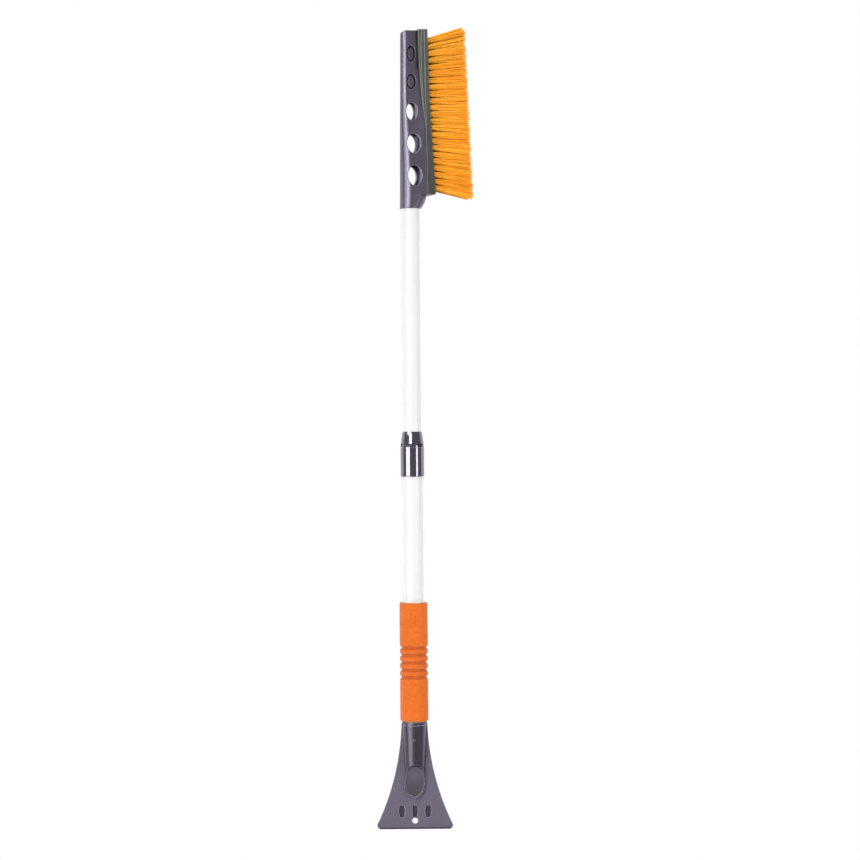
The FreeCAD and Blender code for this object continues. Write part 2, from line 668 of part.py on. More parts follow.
def build_expander_cone():
    """Cone nut with two keys that run in the slots of the sleeve."""
    body = new_body("cone_body")
    slope = "(sleeve_mouth - sleeve_throat) / (sleeve_taper_z - sleeve_low_z)"
    flank = f"sleeve_mouth - cone_gap + (sleeve_low_z - cone_skirt_z) * {slope}"
    tip = f"sleeve_mouth - cone_gap - (cone_top_z - sleeve_low_z) * {slope}"
    revolve(body, [
        ("stud_radius + stud_play", "cone_low_z"),
        (f"{flank} - 0.4", "cone_low_z"),
        (flank, "cone_low_z + 0.5"),
        (flank, "cone_skirt_z"),
        (tip, "cone_top_z"),
        ("stud_radius + stud_play", "cone_top_z"),
    ])
    keys = primitive("Box", "cone_key_bar", {
        "Length": "2 * key_reach", "Width": "key_wide", "Height": "key_top_z - cone_skirt_z"})
    bind(keys, "Placement.Base.x", "0 - key_reach")
    bind(keys, "Placement.Base.y", "0 - key_wide / 2")
    raised(keys, "cone_skirt_z")
    drill = primitive("Cylinder", "cone_key_drill", {"Radius": "stud_radius + 0.5", "Height": "40"})
    raised(drill, "cone_skirt_z - 5")
    bar = combine("Cut", "cone_keys", [keys, drill])
    return combine("MultiFuse", "expander_cone", [body, bar])


def build_expander_stud():
    body = new_body("expander_stud")
    revolve(body, [
        ("0", "stud_low_z"),
        ("stud_radius - 0.5", "stud_low_z"),
        ("stud_radius", "stud_low_z + 0.5"),
        ("stud_radius", "clip_z"),
        ("clip_root", "clip_z"),
        ("clip_root", "clip_z + clip_tall"),
        ("stud_radius", "clip_z + clip_tall"),
        ("stud_radius", "stud_top_z"),
        ("0", "stud_top_z"),
    ])
    return body


def build_stud_clip():
    body = new_body("clip_body")
    revolve(body, [
        ("clip_root", "clip_z"),
        ("clip_radius", "clip_z"),
        ("clip_radius", "clip_z + clip_tall"),
        ("clip_root", "clip_z + clip_tall"),
    ])
    mouth = primitive("Box", "clip_mouth", {
        "Length": "1.7 * clip_root", "Width": "2 * clip_radius", "Height": "clip_tall + 2"})
    bind(mouth, "Placement.Base.x", "0 - 0.85 * clip_root")
    raised(mouth, "clip_z - 1")
    return combine("Cut", "stud_clip", [body, mouth])


def build_expander_plug():
    body = new_body("expander_plug")
    revolve(body, [
        ("stud_radius", "plug_low_z"),
        ("plug_flange_radius", "plug_low_z"),
        ("plug_flange_radius", "inner_tube_low_z"),
        ("inner_tube_bore", "inner_tube_low_z"),
        ("inner_tube_bore", "plug_top_z - 1.5"),
        ("inner_tube_bore - 1", "plug_top_z"),
        ("0", "plug_top_z"),
        ("0", "stud_top_z"),
        ("stud_radius", "stud_top_z"),
    ])
    return body


def build_inner_tube():
    body = new_body("inner_tube_body")
    revolve(body, [
        ("inner_tube_bore", "inner_tube_low_z"),
        ("inner_tube_radius", "inner_tube_low_z"),
        ("inner_tube_radius", "inner_tube_top_z"),
        ("inner_tube_bore", "inner_tube_top_z"),
    ])
    drill = side_hole("inner_tube_drill", "head_rivet_radius", "head_rivet_z", -90)
    return combine("Cut", "inner_tube", [body, drill])


# ------------------------------------------------------------------ brush head
# Sections of the spine: height, left end, right end, half depth.
SPINE = [
    ("neck_low_z", "neck_left", "neck_right", "neck_half"),
    ("block_low_z - 0.5", "foot_left", "foot_right", "foot_half"),
    ("low_z", "low_left", "low_right", "low_half"),
    ("mid_z", "mid_left", "mid_right", "mid_half"),
    ("bend_z", "bend_left", "bend_right", "bend_half"),
    ("high_z", "high_left", "high_right", "high_half"),
    ("spine_top_z", "crown_left", "crown_right", "crown_half"),
]
# Sections of the flanks that carry the spine out to the block: height, half depth at the root,
# right end, half depth at the right end.
FLANKS = [
    ("block_low_z", "foot_half - 0.3", "flank_edge_x", "flank_edge_half"),
    ("low_z + 14", "low_half - 0.6", "flank_edge_x", "flank_edge_half"),
    ("mid_z + 2", "mid_half - 0.3", "flank_edge_x", "flank_edge_half"),
    ("bend_z + 6", "bend_half - 0.3", "flank_edge_x - 3", "bend_half + 3"),
    ("high_z + 10", "high_half - 0.6", "high_right - 3", "high_half - 0.3"),
]


def loft(name, sections):
    """Skin through slot sections given as (height, left, right, half depth)."""
    body = new_body(name)
    sketches = []
    for height, left, right, half in sections:
        sketch = new_sketch(body, "XY", height)
        draw_slot(sketch, left, right, half)
        sketches.append(sketch)
    return skin(body, sketches)


def skin(body, sketches, ruled=False):
    for sketch in sketches:
        sketch.Visibility = False
    feature = body.newObject("PartDesign::AdditiveLoft", body.Name + "_skin")
    feature.Profile = sketches[0]
    feature.Sections = sketches[1:]
    feature.Ruled = ruled
    return body


def build_flanks():
    """Two flat flanks that widen from the spine to the full depth of the block."""
    body = new_body("spine_flanks")
    sketches = []
    for height, root, right, edge in FLANKS:
        sketch = new_sketch(body, "XY", height)
        draw_loop(sketch, [
            ("flank_root_x", f"0 - ({root})"),
            (right, f"0 - ({edge})"),
            (right, edge),
            ("flank_root_x", root),
        ])
        sketches.append(sketch)
    return skin(body, sketches, ruled=True)


def block_back():
    """Corners of the back of the bristle block from its lower to its upper end."""
    return [
        ("bar_low_back", "block_low_z"),
        ("bar_join_back", "bar_join_z", "0 - ledge_curve"),
        ("ledge_top_back", "block_top_z"),
    ]


def blind_oval(name):
    """A groove round an island that lies a little under the surface, on both faces."""
    centre = (f"{name}_x", f"{name}_z")
    floor = size("blind_floor")
    wide = f"{name}_wide"
    tall = f"{name}_tall"
    whole = []
    islands = []
    for side, low, high in (("front", -20, -floor), ("back", floor, 20)):
        whole.append(oval(f"{name}_{side}", *centre, wide, tall, low, high))
        islands.append(oval(f"{name}_island_{side}", *centre, f"{wide} - 2 * blind_groove",
                            f"{tall} - 2 * blind_groove", low - 1, high + 1))
    low_spine = loft(f"{name}_sunk_spine", [
        (height, f"{left} + blind_sink", f"{right} - blind_sink", f"{half} - blind_sink")
        for height, left, right, half in SPINE[4:]])
    kept = combine("Common", f"{name}_kept", [combine("Compound", f"{name}_islands", islands), low_spine])
    return combine("Cut", f"{name}_cut", [combine("Compound", f"{name}_whole", whole), kept])


def build_brush_head():
    spine = combine("MultiFuse", "spine_solid", [loft("spine_body", SPINE), build_flanks()])
    inner = []
    for height, left, right, half in SPINE[1:5]:
        inner.append((height, f"{left} + core_wall", f"min({right}; neck_right + 3.9) - core_wall", f"{half} - core_wall"))
    inner[0] = ("neck_bore_z", inner[0][1], inner[0][2] + " - 0.8", inner[0][3])
    inner.append(("core_top_z", "0 - 9.2", "10.6", "5.2"))
    tools = [loft("spine_core", inner)]
    for name in ("oval_c", "oval_d", "oval_e"):
        tools.append(oval(name, f"{name}_x", f"{name}_z", f"{name}_wide", f"{name}_tall", -20, 20))
    for name in ("oval_a", "oval_b"):
        tools.append(blind_oval(name))
    socket = primitive("Cylinder", "neck_socket", {
        "Radius": "inner_tube_radius", "Height": "neck_bore_z - neck_low_z + 1"})
    tools.append(raised(socket, "neck_low_z - 1"))
    # seat of the bristle block
    back = block_back()
    tools.append(slab("block_seat", "XZ", [
        (back[0][0], "block_low_z"),
        *back[1:],
        ("ledge_top_back", "block_top_z + 5"),
        ("60", "block_top_z + 5"),
        ("60", "block_low_z"),
    ], "60"))
    # rounded top corner on the side away from the bristles
    corner = "spine_corner"
    tools.append(slab("spine_corner_cut", "XZ", [
        ("0 - 20", "spine_top_z + 3"),
        ("0 - 20", f"spine_top_z - {corner}"),
        ("0 - 11.1", f"spine_top_z - {corner}", f"0 - {corner}"),
        (f"{corner} - 11.1", "spine_top_z"),
        (f"{corner} - 11.1", "spine_top_z + 3"),
    ], "40"))
    tools.append(side_hole("head_drill", "head_rivet_radius", "head_rivet_z", -90))
    cutter = combine("MultiFuse", "head_cutter", tools)
    return combine("Cut", "brush_head", [spine, cutter])


def build_head_rivet():
    body = new_body("head_rivet")
    shank = "head_rivet_radius"
    revolve(body, [
        ("0", "8.8"),
        (f"{shank} + 0.4", "8.8"),
        (f"{shank} + 0.7", "9.3"),
        (f"{shank} + 0.7", "9.72"),
        (shank, "9.72"),
        (shank, "12.85"),
        (f"{shank} + 1.4", "12.85"),
        (f"{shank} + 1.1", "13.5"),
        ("0", "13.9"),
    ])
    body.Placement = FreeCAD.Placement(
        Vector(0, 0, size("head_rivet_z")), FreeCAD.Rotation(Vector(1, 0, 0), -90))
    raised(body, "head_rivet_z")
    return body


# ------------------------------------------------------------------ bristles
def face_x(height):
    """Position of the hollow block face at a height."""
    low = Vector(size("block_low_x"), size("block_low_z"), 0)
    top = Vector(size("block_top_x"), size("block_top_z"), 0)
    radius = size("block_curve")
    chord = top - low
    offset = math.sqrt(radius ** 2 - (chord.Length / 2) ** 2)
    centre = (low + top) / 2 + Vector(chord.y, -chord.x, 0).normalize() * offset
    return centre.x - math.sqrt(radius ** 2 - (height - centre.y) ** 2)


def tuft_lean(share):
    """Lean of a tuft in degrees. The share runs from -1 at the lowest tuft to 1 at the highest."""
    if share > 0:
        return size("lean_top") * (0.75 * share + 0.25 * share ** 5)
    return size("lean_low") * share


def tuft_axes():
    """Four rows of (root, tip) pairs; every other row is shifted by half a step and one tuft short."""
    low = size("tuft_low_z")
    top = size("tuft_top_z")
    count = int(size("tuft_count"))
    step = (top - low) / (count - 1)
    rows = []
    for index in range(4):
        side = (index - 1.5) * size("row_step")
        shifted = index % 2
        row = []
        for number in range(count - shifted):
            height = low + (number + 0.5 * shifted) * step
            share = 2 * (height - low) / (top - low) - 1
            root = Vector(face_x(height), side, height)
            reach = size("tip_low_x") + (size("tip_top_x") - size("tip_low_x")) * (share + 1) / 2 - root.x
            rise = reach * math.tan(math.radians(tuft_lean(share)))
            tip = Vector(root.x + reach, side * size("row_fan"), height + rise)
            row.append((root, tip))
        rows.append(row)
    return rows


TUFTS = tuft_axes()


def along(root, tip, back):
    """Placement whose Z runs from the root to the tip, set back into the block."""
    direction = (tip - root).normalize()
    return FreeCAD.Placement(root - direction * back, FreeCAD.Rotation(Vector(0, 0, 1), direction))


def build_bristle_block():
    body = new_body("block_body")
    sketch = new_sketch(body, "XZ")
    draw_loop(sketch, [
        ("bar_low_back", "block_low_z"),
        ("block_low_x - 1.2", "block_low_z", "1.2"),
        ("block_low_x", "block_low_z + 1.2", "0 - block_curve"),
        ("block_top_x", "block_top_z - 1.2", "1.2"),
        ("block_top_x - 1.2", "block_top_z"),
        ("bar_top_back", "block_top_z"),
        ("bar_join_back", "bar_join_z"),
    ])
    extrude(body, sketch, "2 * block_half")
    for back, half in (("ledge_mid_back", "ledge_half"), ("ledge_top_back", "ledge_inner_half")):
        ledge = new_sketch(body, "XZ")
        draw_loop(ledge, [
            ("bar_join_back", "bar_join_z"),
            ("bar_join_back + 0.5", "bar_join_z"),
            ("bar_join_back + 0.5", "block_top_z"),
            (back, "block_top_z", "ledge_curve"),
        ])
        extrude(body, ledge, f"2 * {half}")
    drills = []
    for index, row in enumerate(TUFTS):
        for number, (root, tip) in enumerate(row):
            drills.append(primitive("Cylinder", f"drill_{index}_{number}", {
                "Radius": "hole_radius", "Height": "hole_deep + 6"},
                along(root, tip, size("hole_deep"))))
    return combine("Cut", "bristle_block", [body, combine("Compound", "tuft_drills", drills)])


def build_bristle_row(index):
    cones = []
    for number, (root, tip) in enumerate(TUFTS[index]):
        back = size("hole_deep - anchor_tall")
        cone = primitive("Cone", f"tuft_{index}_{number}", {
            "Radius1": "tuft_root_radius",
            "Radius2": "tuft_tip_radius",
            "Height": str(back + root.distanceToPoint(tip)),
        }, along(root, tip, back))
        cones.append(cone)
    return combine("Compound", f"bristle_row_{index + 1}", cones)


def build_tuft_anchors():
    """Flat staples at the floors of the tuft holes."""
    staples = []
    for index, row in enumerate(TUFTS):
        for number, (root, tip) in enumerate(row):
            place = along(root, tip, size("hole_deep"))
            box = primitive("Box", f"anchor_{index}_{number}", {
                "Length": "anchor_wide", "Width": "anchor_long", "Height": "anchor_tall - 0.05"})
            shift = FreeCAD.Placement(
                Vector(-size("anchor_wide") / 2, -size("anchor_long") / 2, 0), FreeCAD.Rotation())
            box.Placement = place.multiply(shift)
            staples.append(box)
    return combine("Compound", "tuft_anchors", staples)


# ------------------------------------------------------------------ assembly
UPRIGHT = [
    build_scraper,
    build_scraper_rivet,
    build_outer_tube,
    build_foam_grip,
    build_collar_shell,
    build_guide_bush,
    build_expander_sleeve,
    build_expander_cone,
    build_expander_plug,
    build_expander_stud,
    build_stud_clip,
    build_inner_tube,
]
pieces = {}
for build in UPRIGHT:
    piece = build()
    pieces[build.__name__.replace("build_", "")] = piece
pieces["brush_head"] = build_brush_head()
pieces["head_rivet"] = build_head_rivet()
pieces["bristle_block"] = build_bristle_block()
for index in range(4):
    pieces[f"bristle_row_{index + 1}"] = build_bristle_row(index)
pieces["tuft_anchors"] = build_tuft_anchors()
doc.recompute()

# the head, its block and its bristles are turned together round the handle
turned = FreeCAD.Placement(Vector(0, 0, 0), FreeCAD.Rotation(Vector(0, 0, 1), size("head_turn")))
for name in ["brush_head", "head_rivet", "bristle_block", "tuft_anchors",
             "bristle_row_1", "bristle_row_2", "bristle_row_3", "bristle_row_4"]:
    pieces[name].Placement = turned.multiply(pieces[name].Placement)
# the rivet hole of the inner tube follows the head
pieces["inner_tube"].Placement = turned
doc.recompute()

for thing in doc.Objects:
    if "Invalid" in thing.State or "Error" in thing.State:
        raise RuntimeError(f"{thing.Name}: {thing.State}")
os.makedirs("parts", exist_ok=True)
for name, piece in pieces.items():
    piece.Label = name
    shape = piece.Shape
    if shape.isNull() or not shape.isValid():
        raise RuntimeError(f"{name} has no valid shape")
    shape.exportStep(f"parts/{name}.step")
    box = shape.BoundBox
    print(f"{name:18s} solids {len(shape.Solids):3d} volume {shape.Volume:10.1f} "
          f"x {box.XMin:7.2f} {box.XMax:7.2f} y {box.YMin:7.2f} {box.YMax:7.2f} z {box.ZMin:7.2f} {box.ZMax:7.2f}")
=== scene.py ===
"""Looks of the telescopic snow brush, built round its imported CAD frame. Metres, +Z up, front towards -Y."""
import json
import math

import bpy
import numpy as np
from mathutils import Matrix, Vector, noise

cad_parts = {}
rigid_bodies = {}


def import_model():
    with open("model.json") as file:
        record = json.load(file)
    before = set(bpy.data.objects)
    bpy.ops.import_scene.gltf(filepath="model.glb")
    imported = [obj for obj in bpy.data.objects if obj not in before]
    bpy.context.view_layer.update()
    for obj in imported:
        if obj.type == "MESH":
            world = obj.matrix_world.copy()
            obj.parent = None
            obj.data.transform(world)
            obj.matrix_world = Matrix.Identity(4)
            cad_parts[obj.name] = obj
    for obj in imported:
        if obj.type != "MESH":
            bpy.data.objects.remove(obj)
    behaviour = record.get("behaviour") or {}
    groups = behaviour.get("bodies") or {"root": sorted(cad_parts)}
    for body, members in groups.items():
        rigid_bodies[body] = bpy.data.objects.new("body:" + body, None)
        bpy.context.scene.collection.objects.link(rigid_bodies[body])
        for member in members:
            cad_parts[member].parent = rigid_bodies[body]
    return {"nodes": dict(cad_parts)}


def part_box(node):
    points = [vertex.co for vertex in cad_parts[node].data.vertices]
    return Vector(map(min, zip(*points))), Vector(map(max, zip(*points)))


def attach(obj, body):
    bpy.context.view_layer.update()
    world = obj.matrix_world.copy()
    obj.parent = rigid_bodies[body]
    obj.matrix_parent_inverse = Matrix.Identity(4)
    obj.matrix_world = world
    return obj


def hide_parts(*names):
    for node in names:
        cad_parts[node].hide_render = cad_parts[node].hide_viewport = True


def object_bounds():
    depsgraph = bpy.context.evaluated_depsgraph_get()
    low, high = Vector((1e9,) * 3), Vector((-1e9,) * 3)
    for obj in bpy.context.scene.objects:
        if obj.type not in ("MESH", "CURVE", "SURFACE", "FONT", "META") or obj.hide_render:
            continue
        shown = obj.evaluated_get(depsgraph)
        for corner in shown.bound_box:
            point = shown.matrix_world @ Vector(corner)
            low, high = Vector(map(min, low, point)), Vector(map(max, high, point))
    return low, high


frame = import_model()
cad_box = [list(corner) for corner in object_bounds()]
nodes = frame["nodes"]
MM = 0.001


# ---------------------------------------------------------------- shader helpers
class Shader:
    """A node material with one Principled shader."""

    def __init__(self, name, **sockets):
        self.material = bpy.data.materials.new(name)
        self.material.use_nodes = True
        self.tree = self.material.node_tree
        self.bsdf = self.tree.nodes["Principled BSDF"]
        for socket, value in sockets.items():
            self.bsdf.inputs[socket.replace("_", " ")].default_value = value
        self.coords = self.tree.nodes.new("ShaderNodeTexCoord").outputs["Object"]

    def node(self, kind, values=None, **fields):
        made = self.tree.nodes.new("ShaderNode" + kind)
        for field, value in fields.items():
            setattr(made, field, value)
        for socket, value in (values or {}).items():
            self.join(value, made.inputs[socket])
        return made

    def link(self, output, socket):
        self.tree.links.new(output, self.bsdf.inputs[socket])

    def join(self, value, socket):
        """A constant or another node's output into a socket."""
        if hasattr(value, "is_output"):
            self.tree.links.new(value, socket)
        else:
            socket.default_value = value

    def axis(self, name):
        return self.node("SeparateXYZ", {0: self.coords}).outputs[name]

    def maths(self, kind, first, second=0.0):
        return self.node("Math", {0: first, 1: second}, operation=kind).outputs[0]

    def stretched(self, scale):
        return self.node("Mapping", {"Vector": self.coords, "Scale": scale}).outputs["Vector"]

    def noise(self, scale, detail=3.0, rough=0.55, vector=None):
        made = self.node("TexNoise", {
            "Vector": vector or self.coords, "Scale": scale, "Detail": detail, "Roughness": rough})
        return made.outputs["Fac"]

    def spread(self, value, low, high, start=0.0, end=1.0):
        """Value from start..end mapped to low..high."""
        made = self.node("MapRange", {
            "Value": value, "From Min": start, "From Max": end, "To Min": low, "To Max": high})
        return made.outputs["Result"]

    def blend(self, factor, first, second):
        made = self.node("Mix", data_type="RGBA")
        for index, value in ((0, factor), (6, first), (7, second)):
            self.join(value, made.inputs[index])
        return made.outputs[2]

    def bump(self, height, depth, strength=1.0, normal=None):
        values = {"Height": height, "Distance": depth, "Strength": strength}
        if normal is not None:
            values["Normal"] = normal
        return self.node("Bump", values).outputs["Normal"]

    def rounded(self, radius):
        """Normal that rounds the sharp edges of a mesh."""
        return self.node("Bevel", {"Radius": radius}, samples=6).outputs["Normal"]

    def recess_shade(self, reach, dark):
        """Painted shade: 1 on open surface, falling to the dark value in narrow recesses."""
        return self.spread(self.openness(reach), dark, 1.0, 0.15, 0.75)

    def openness(self, reach):
        """Share of the sky a point sees within the reach: 1 on open surface, half in a square inner corner."""
        return self.node("AmbientOcclusion", {"Distance": reach}, samples=8).outputs["AO"]

    def edges(self, radius):
        """1 on sharp edges, 0 on open surface."""
        soft = self.rounded(radius)
        hard = self.node("NewGeometry").outputs["Normal"]
        dot = self.node("VectorMath", {0: soft, 1: hard}, operation="DOT_PRODUCT").outputs["Value"]
        return self.spread(dot, 1.0, 0.0, 0.86, 0.995)


def grey(value, tint=(1.0, 1.0, 1.0)):
    return (value * tint[0], value * tint[1], value * tint[2], 1.0)


# noise scales, in cells per metre
FLOW_MARKS = 38.0
SATIN_PATCHES = 90.0
RUBBED_PATCHES = 260.0
FINE_GRAIN = 2600.0

WEAR_AND_HIGHLIGHT_REACH = 2.0 * MM
NARROW_RECESS = 3.0 * MM
WIDE_RECESS = 14.0 * MM


def moulded(name, colour, wear_and_highlight, rough, grain, edge, soft, shine=0.5, ior=1.5,
            tint=(1.0, 1.0, 1.0, 1.0), region=None, matt_rough=0.6, lower_shade=None):
    """Moulded plastic: fine grain, faint flow mottling, edges lighter with wear and painted highlight, recesses
    darker with painted shade.

    The wear and painted highlight reach the edge distance from an outer edge; the soft distance is how far
    corners look rounded.
    A region gives a mask, 1 where the mould was textured, and the colour there, painted light and shade
    included.
    The last argument (low height, high height, value at the low one) darkens the lower end with painted shade.
    """
    shade = Shader(name, Specular_IOR_Level=shine, IOR=ior, Specular_Tint=tint)
    mottle = shade.noise(FLOW_MARKS, 4.0)
    patch = shade.noise(SATIN_PATCHES, 3.0)
    satin = shade.spread(patch, rough - 0.03, rough + 0.04, 0.3, 0.7)
    if region:
        textured, matt = region(shade)
        colour = shade.blend(textured, colour, matt)
        satin = shade.node("Mix", {0: textured, 2: satin, 3: matt_rough}).outputs[0]
    darker = shade.node("Mix", {0: 1.0, 7: grey(0.88)}, data_type="RGBA", blend_type="MULTIPLY")
    shade.join(colour, darker.inputs[6])
    body = shade.blend(shade.spread(mottle, 0.0, 1.0, 0.3, 0.7), darker.outputs[2], colour)
    # only outer corners get wear and painted highlight: an inner corner sees less than the lower share of its
    # sky
    exposed = shade.spread(shade.openness(WEAR_AND_HIGHLIGHT_REACH), 0.0, 1.0, 0.57, 0.82)
    outer = shade.maths("MULTIPLY", shade.edges(edge), exposed)
    uneven = shade.spread(shade.noise(RUBBED_PATCHES), 0.8, 1.0, 0.35, 0.65)
    # edges lighter: wear, and painted highlight along the edges
    rubbed_and_highlit = shade.blend(shade.maths("MULTIPLY", outer, uneven), body, wear_and_highlight)
    # painted shade: darker in narrow and in wide recesses, where a point sees little of its surroundings
    depth = shade.maths("MULTIPLY", shade.recess_shade(NARROW_RECESS, 0.25), shade.recess_shade(WIDE_RECESS, 0.60))
    # painted shade on the lower end, over the height range given
    if lower_shade:
        low, high, value = lower_shade
        depth = shade.maths("MULTIPLY", depth, shade.spread(shade.axis("Z"), value, 1.0, low, high))
    shadow = shade.node("CombineColor", {channel: depth for channel in ("Red", "Green", "Blue")})
    deep = shade.node("Mix", {0: 1.0, 6: rubbed_and_highlit, 7: shadow.outputs[0]},
                      data_type="RGBA", blend_type="MULTIPLY")
    shade.link(deep.outputs[2], "Base Color")
    shade.link(satin, "Roughness")
    shade.link(shade.bump(shade.noise(FINE_GRAIN, 2.0), grain, 0.7, shade.rounded(soft)), "Normal")
    return shade.material


# ---------------------------------------------------------------- materials
VIOLET = (1.0, 0.86, 1.28)
WARM_GREEN = (1.02, 1.06, 0.86)
SHEEN = (1.0, 0.92, 1.08, 1.0)


def gloss_plastic():
    """Polished dark plastic of the collar with faint swirl marks in its lacquered skin."""
    shade = Shader("collar_plastic", Specular_IOR_Level=1.0, Specular_Tint=SHEEN, Coat_Weight=1.0,
                   Coat_Roughness=0.04, Coat_IOR=1.9)
    tone = shade.spread(shade.noise(45.0, 4.0), 0.0, 1.0, 0.3, 0.7)
    body = shade.blend(tone, grey(0.046, VIOLET), grey(0.054, VIOLET))
    uneven = shade.spread(shade.noise(RUBBED_PATCHES), 0.3, 1.0, 0.35, 0.65)
    rub = shade.maths("MULTIPLY", shade.edges(0.4 * MM), uneven)
    shade.link(shade.blend(rub, body, grey(0.20, VIOLET)), "Base Color")
    shade.link(shade.spread(shade.noise(120.0), 0.08, 0.14, 0.3, 0.7), "Roughness")
    shade.link(shade.bump(shade.noise(1400.0, 2.0), 0.004 * MM, 0.5, shade.rounded(0.4 * MM)), "Normal")
    return shade.material


BLADE_FACE = 1.5 * MM
SCOOP_MIDDLE = 48.0 * MM
SCOOP_HALF_TALL = 18.1 * MM
SCOOP_HALF_WIDE = 11.0 * MM


def blade_faces(shade):
    """Mask of the textured faces of the scraper (blade, scoop floors, faint in the recesses), and colour:
    painted lighter than the smooth boss for the light their matt grain scatters, with painted shade on the
    recess floors and the lower scoop floor.
    """
    depth = shade.maths("ABSOLUTE", shade.axis("Y"))
    off_face = shade.maths("ABSOLUTE", shade.maths("SUBTRACT", depth, BLADE_FACE))
    plate = shade.spread(off_face, 1.0, 0.0, 0.15 * MM, 0.35 * MM)
    # painted shade: the recess floors keep only a little of the lighter colour
    recess = shade.spread(depth, 0.15, 0.0, 1.2 * MM, 1.35 * MM)
    across = shade.maths("POWER", shade.maths("DIVIDE", shade.axis("X"), SCOOP_HALF_WIDE), 2.0)
    height = shade.maths("DIVIDE", shade.maths("SUBTRACT", shade.axis("Z"), SCOOP_MIDDLE), SCOOP_HALF_TALL)
    oval = shade.spread(shade.maths("ADD", across, shade.maths("POWER", height, 2.0)), 1.0, 0.0, 0.93, 1.0)
    mask = shade.maths("MAXIMUM", shade.maths("MAXIMUM", plate, recess), oval)
    # painted shade: the scoop floor gets darker towards its lower end
    low = shade.maths("MULTIPLY", shade.maths("MULTIPLY", oval, shade.spread(height, 1.0, 0.0, -0.9, 0.35)),
                      shade.spread(off_face, 0.0, 1.0, 0.15 * MM, 0.35 * MM))
    return mask, shade.blend(low, grey(0.088, VIOLET), grey(0.004, VIOLET))


def shaded_oval_walls(shade):
    """Mask of the walls inside the ovals of the head, left rough by the mould, and their colour: painted shade,
    near black where a wall sees little of its surroundings.
    """
    return shade.spread(shade.openness(7.0 * MM), 1.0, 0.0, 0.66, 0.92), grey(0.008, VIOLET)


# the lighter edge colours below are wear and painted edge highlight
scraper_plastic = moulded(
    "scraper_plastic", grey(0.034, VIOLET), wear_and_highlight=grey(0.55, VIOLET), rough=0.30, grain=0.003 * MM,
    edge=0.9 * MM, soft=0.8 * MM, shine=1.0, ior=1.60, tint=SHEEN, region=blade_faces)
head_plastic = moulded(
    "head_plastic", grey(0.067, VIOLET), wear_and_highlight=grey(0.24, VIOLET), rough=0.31, grain=0.003 * MM,
    edge=0.8 * MM, soft=1.5 * MM, shine=1.0, ior=1.70, tint=SHEEN, region=shaded_oval_walls, matt_rough=0.8)
# guide bush: near black, its colour also standing for the shade seen through the collar windows
dark_plastic = moulded(
    "lug_plastic", grey(0.016, VIOLET), wear_and_highlight=grey(0.04, VIOLET), rough=0.35, grain=0.03 * MM,
    edge=0.4 * MM, soft=0.4 * MM)
# block: its yellowish edge colour is wear and a painted highlight tinted like the orange filaments, and its
# lower end is darkened with painted shade
dark_grey = moulded(
    "block_plastic", grey(0.074, WARM_GREEN), wear_and_highlight=grey(0.42, (1.0, 1.0, 0.75)), rough=0.36,
    grain=0.008 * MM, edge=0.8 * MM, soft=1.4 * MM, shine=1.0, lower_shade=(0.77, 0.92, 0.62))
gloss = gloss_plastic()
natural = moulded(
    "natural_plastic", grey(0.62, (1.0, 0.99, 0.95)), wear_and_highlight=grey(0.7), rough=0.42, grain=0.03 * MM,
    edge=0.4 * MM, soft=0.4 * MM)


def powder_coat():
    """White powder coat: slight orange peel, faint uneven whiteness and a few scuffs along the tube."""
    shade = Shader("white_powder_coat", Roughness=0.33, Coat_Weight=0.25, Coat_Roughness=0.2)
    tone = shade.noise(14.0, 3.0)
    clean = grey(0.735, (1.0, 1.0, 1.005))
    faint = grey(0.720, (1.0, 0.998, 0.995))
    along = shade.noise(1.0, 3.0, vector=shade.stretched((900.0, 900.0, 18.0)))
    scuff = shade.spread(along, 0.0, 1.0, 0.66, 0.74)
    body = shade.blend(shade.spread(tone, 0.0, 1.0, 0.35, 0.65), faint, clean)
    shade.link(shade.blend(scuff, body, grey(0.69)), "Base Color")
    shade.link(shade.spread(tone, 0.28, 0.40, 0.3, 0.7), "Roughness")
    peel = shade.noise(900.0, 2.0)
    shade.link(shade.bump(peel, 0.03 * MM, 0.6, shade.rounded(0.4 * MM)), "Normal")
    return shade.material


def plain_steel():
    """Zinc-plated steel with a cloudy grain."""
    shade = Shader("zinc_steel", Metallic=1.0)
    grain = shade.noise(400.0, 4.0)
    shade.link(shade.blend(grain, grey(0.42), grey(0.62)), "Base Color")
    shade.link(shade.spread(grain, 0.25, 0.45, 0.3, 0.7), "Roughness")
    shade.link(shade.bump(shade.noise(1800.0), 0.03 * MM, 0.5, shade.rounded(0.3 * MM)), "Normal")
    return shade.material


